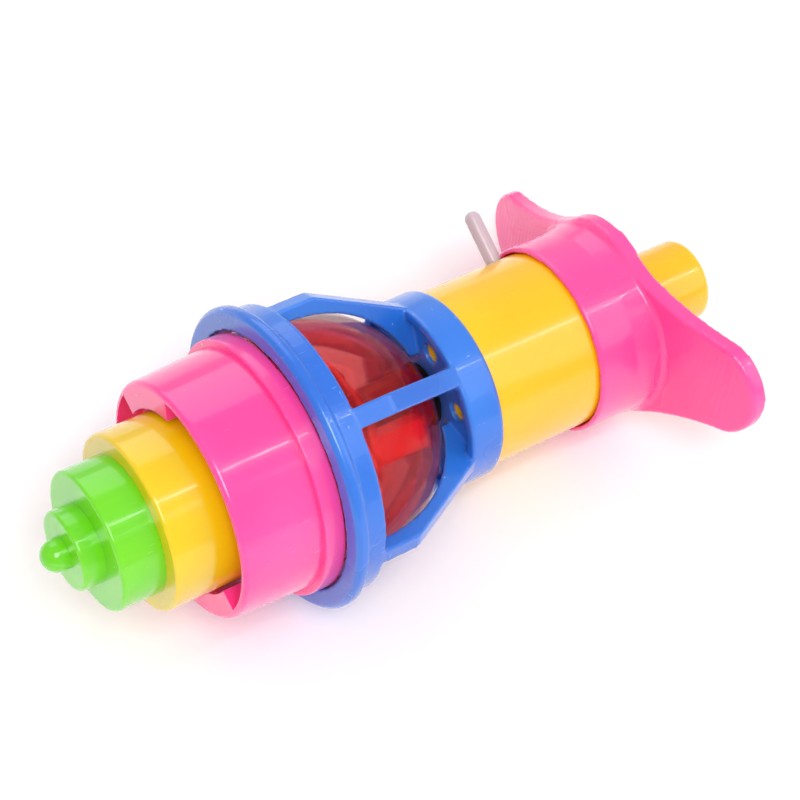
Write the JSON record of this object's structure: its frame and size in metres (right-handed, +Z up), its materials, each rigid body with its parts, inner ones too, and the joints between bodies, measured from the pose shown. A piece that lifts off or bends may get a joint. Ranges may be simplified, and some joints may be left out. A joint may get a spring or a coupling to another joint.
{
  "type": "light-up spinning top with launcher",
  "caption": "Stepped plastic spinning top with a clear dome, held in a ribbed cage launcher with a winged winder cap and an end button.",
  "frame": {"origin": "centre of the bounding box's footprint, on the floor the toy lies on", "axes": "+X along the lying toy from the top's tip to the end button, seen from above; +Z up; the toy lies on the cage lip, the cap rim and the far wing tip, so its long axis leans down towards the button"},
  "size_m": [0.1264, 0.069, 0.0517],
  "materials": {
    "green_plastic": "glossy injection-moulded plastic",
    "yellow_plastic": "glossy injection-moulded plastic",
    "ochre_plastic": "glossy injection-moulded plastic",
    "pink_plastic": "glossy slightly translucent plastic",
    "blue_plastic": "semi-gloss injection-moulded plastic",
    "clear_red": "clear red plastic",
    "red_plastic": "glossy red plastic",
    "bright_foil": "brushed bright plating",
    "white_plastic": "satin plastic",
    "milky_plastic": "milky translucent plastic",
    "steel": "plain steel",
    "spring_steel": "spring steel",
    "brass": "plain brass",
    "board_green": "glass-fibre board with solder mask",
    "lamp": "clear lamp",
    "black_plastic": "matt moulded plastic"
  },
  "bodies": {
    "launcher": {"blue_cage": "blue_plastic", "barrel": "yellow_plastic", "cage_screws": "steel", "spindle_bush": "white_plastic", "mainspring": "spring_steel", "end_plate": "white_plastic", "pin_guide": "white_plastic"},
    "drive": {"drive_spindle": "white_plastic", "drive_dog": "white_plastic", "brake_drum": "black_plastic", "clutch_wheel": "white_plastic", "spindle_clip": "spring_steel"},
    "top": {"tip_cup": "green_plastic", "yellow_step": "ochre_plastic", "pink_shell": "pink_plastic", "red_dome": "clear_red", "reflector_dish": "bright_foil", "inner_cone": "bright_foil", "light_block": "red_plastic", "drive_hub": "white_plastic", "hub_screws": "steel", "circuit_board": "board_green", "board_screws": "steel", "leds": "lamp", "spin_switch": "steel", "sound_can": "black_plastic", "battery_holder": "black_plastic", "button_cells": "steel", "battery_spring": "spring_steel", "contact_disc": "brass"},
    "winder": {"winder_cap": "pink_plastic", "winder_arbor": "white_plastic", "winder_screws": "steel"},
    "button": {"eject_button": "yellow_plastic", "push_rod": "steel", "button_spring": "spring_steel"},
    "side_pin": {"release_pin": "milky_plastic", "pin_spring": "spring_steel"}
  },
  "joints": [
    {"name": "drive_spin", "type": "hinge", "parent": "launcher", "child": "drive", "pos_m": [0.02401, 0, 0.0206], "axis": [0.9932, 0, -0.1163], "continuous": true},
    {"name": "top_release", "type": "slide", "parent": "drive", "child": "top", "axis": [-0.9932, 0, 0.1163], "range_m": [0, 0.08]},
    {"name": "winder_turn", "type": "hinge", "parent": "launcher", "child": "winder", "pos_m": [0.03792, 0, 0.01897], "axis": [0.9932, 0, -0.1163], "range_deg": [0, 1080]},
    {"name": "button_press", "type": "slide", "parent": "winder", "child": "button", "axis": [-0.9932, 0, 0.1163], "range_m": [0, 0.004], "stiffness_N_per_m": 400, "springref_m": -0.002, "deforming": ["button_spring"]},
    {"name": "pin_press", "type": "slide", "parent": "launcher", "child": "side_pin", "axis": [-0.0499, -0.9034, -0.4259], "range_m": [0, 0.0008], "stiffness_N_per_m": 300, "springref_m": -0.001, "deforming": ["pin_spring"]}
  ]
}
